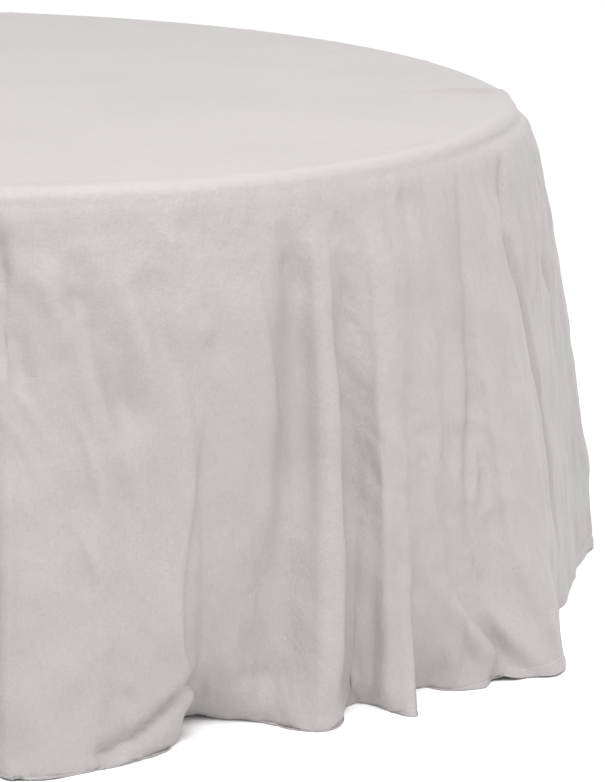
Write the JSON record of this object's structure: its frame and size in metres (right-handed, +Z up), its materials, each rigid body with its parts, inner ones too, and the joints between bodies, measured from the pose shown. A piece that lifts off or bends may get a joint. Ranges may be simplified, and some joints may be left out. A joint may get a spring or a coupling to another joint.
{
  "type": "tablecloth on a table",
  "caption": "Floor-length round tablecloth in soft flutes, draped over a round folding banquet table whose two leg sets fold flat under the top.",
  "frame": {"origin": "on the floor under the middle of the round top", "axes": "+Z up; X along the fold of the legs, with a leg set at each end; -Y faces the camera side"},
  "size_m": [2.263, 2.263, 0.764],
  "materials": {
    "tablecloth_fabric": "off-white plain-woven fabric with a soft matte surface",
    "hem_fabric": "same fabric, two layers",
    "sewing_thread": "white lockstitch thread",
    "label_satin": "blank white satin",
    "plywood": "bare sanded plywood",
    "laminate": "brown wood-tone laminate",
    "edge_vinyl": "dark vinyl edge",
    "apron_wood": "varnished hardwood",
    "leg_paint": "dark grey powder coat",
    "bracket_steel": "zinc-plated pressed steel",
    "zinc_hardware": "bright zinc",
    "washer_brass": "brass",
    "foot_rubber": "black rubber"
  },
  "bodies": {
    "table": {"top_board": "plywood", "top_laminate": "laminate", "edge_moulding": "edge_vinyl", "apron_front": "apron_wood", "apron_rear": "apron_wood", "apron_left": "apron_wood", "apron_right": "apron_wood", "apron_screws": "zinc_hardware", "hinge_bracket_left_front": "bracket_steel", "hinge_bracket_left_rear": "bracket_steel", "hinge_bracket_right_front": "bracket_steel", "hinge_bracket_right_rear": "bracket_steel", "brace_anchor_left": "bracket_steel", "brace_anchor_right": "bracket_steel", "bracket_screws": "zinc_hardware", "anchor_rivet_left": "zinc_hardware", "anchor_rivet_right": "zinc_hardware"},
    "leg_set_left": {"pivot_tube_left": "leg_paint", "leg_left_front": "leg_paint", "leg_left_rear": "leg_paint", "cross_tube_left": "leg_paint", "stretcher_left": "leg_paint", "brace_lug_left": "leg_paint", "lug_rivet_left": "zinc_hardware", "foot_left_front": "foot_rubber", "foot_left_rear": "foot_rubber"},
    "leg_set_right": {"pivot_tube_right": "leg_paint", "leg_right_front": "leg_paint", "leg_right_rear": "leg_paint", "cross_tube_right": "leg_paint", "stretcher_right": "leg_paint", "brace_lug_right": "leg_paint", "lug_rivet_right": "zinc_hardware", "foot_right_front": "foot_rubber", "foot_right_rear": "foot_rubber"},
    "upper_brace_left": {"upper_link_left": "bracket_steel", "elbow_pin_left": "zinc_hardware", "elbow_washer_left": "washer_brass"},
    "upper_brace_right": {"upper_link_right": "bracket_steel", "elbow_pin_right": "zinc_hardware", "elbow_washer_right": "washer_brass"},
    "lower_brace_left": {"lower_link_left": "bracket_steel", "elbow_collar_left": "zinc_hardware"},
    "lower_brace_right": {"lower_link_right": "bracket_steel", "elbow_collar_right": "zinc_hardware"},
    "cloth": {"cloth_top": "tablecloth_fabric", "cloth_drop": "tablecloth_fabric", "cloth_hem": "hem_fabric", "hem_stitching": "sewing_thread", "care_label": "label_satin"}
  },
  "joints": [
    {"name": "leg_fold_left", "type": "hinge", "parent": "table", "child": "leg_set_left", "pos_m": [-0.73, 0, 0.721], "axis": [0, -1, 0], "range_deg": [0, 90]},
    {"name": "upper_brace_fold_left", "type": "hinge", "parent": "table", "child": "upper_brace_left", "pos_m": [-0.38, 0, 0.721], "axis": [0, -1, 0], "range_deg": [0, 159.67]},
    {"name": "lower_brace_fold_left", "type": "hinge", "parent": "leg_set_left", "child": "lower_brace_left", "pos_m": [-0.73, 0, 0.591], "axis": [0, -1, 0], "range_deg": [-110.43, 0]},
    {"name": "leg_fold_right", "type": "hinge", "parent": "table", "child": "leg_set_right", "pos_m": [0.73, 0, 0.721], "axis": [0, 1, 0], "range_deg": [0, 90]},
    {"name": "upper_brace_fold_right", "type": "hinge", "parent": "table", "child": "upper_brace_right", "pos_m": [0.38, 0, 0.721], "axis": [0, 1, 0], "range_deg": [0, 159.67]},
    {"name": "lower_brace_fold_right", "type": "hinge", "parent": "leg_set_right", "child": "lower_brace_right", "pos_m": [0.73, 0, 0.591], "axis": [0, 1, 0], "range_deg": [-110.43, 0]},
    {"name": "cloth_lift", "type": "slide", "parent": "table", "child": "cloth", "axis": [0, 0, 1], "range_m": [0, 0.85]}
  ],
  "couplings": [
    {"joint": "upper_brace_fold_left", "follows": "leg_fold_left", "ratio": 1.7736},
    {"joint": "lower_brace_fold_left", "follows": "leg_fold_left", "ratio": -1.2264},
    {"joint": "upper_brace_fold_right", "follows": "leg_fold_right", "ratio": 1.7736},
    {"joint": "lower_brace_fold_right", "follows": "leg_fold_right", "ratio": -1.2264}
  ]
}
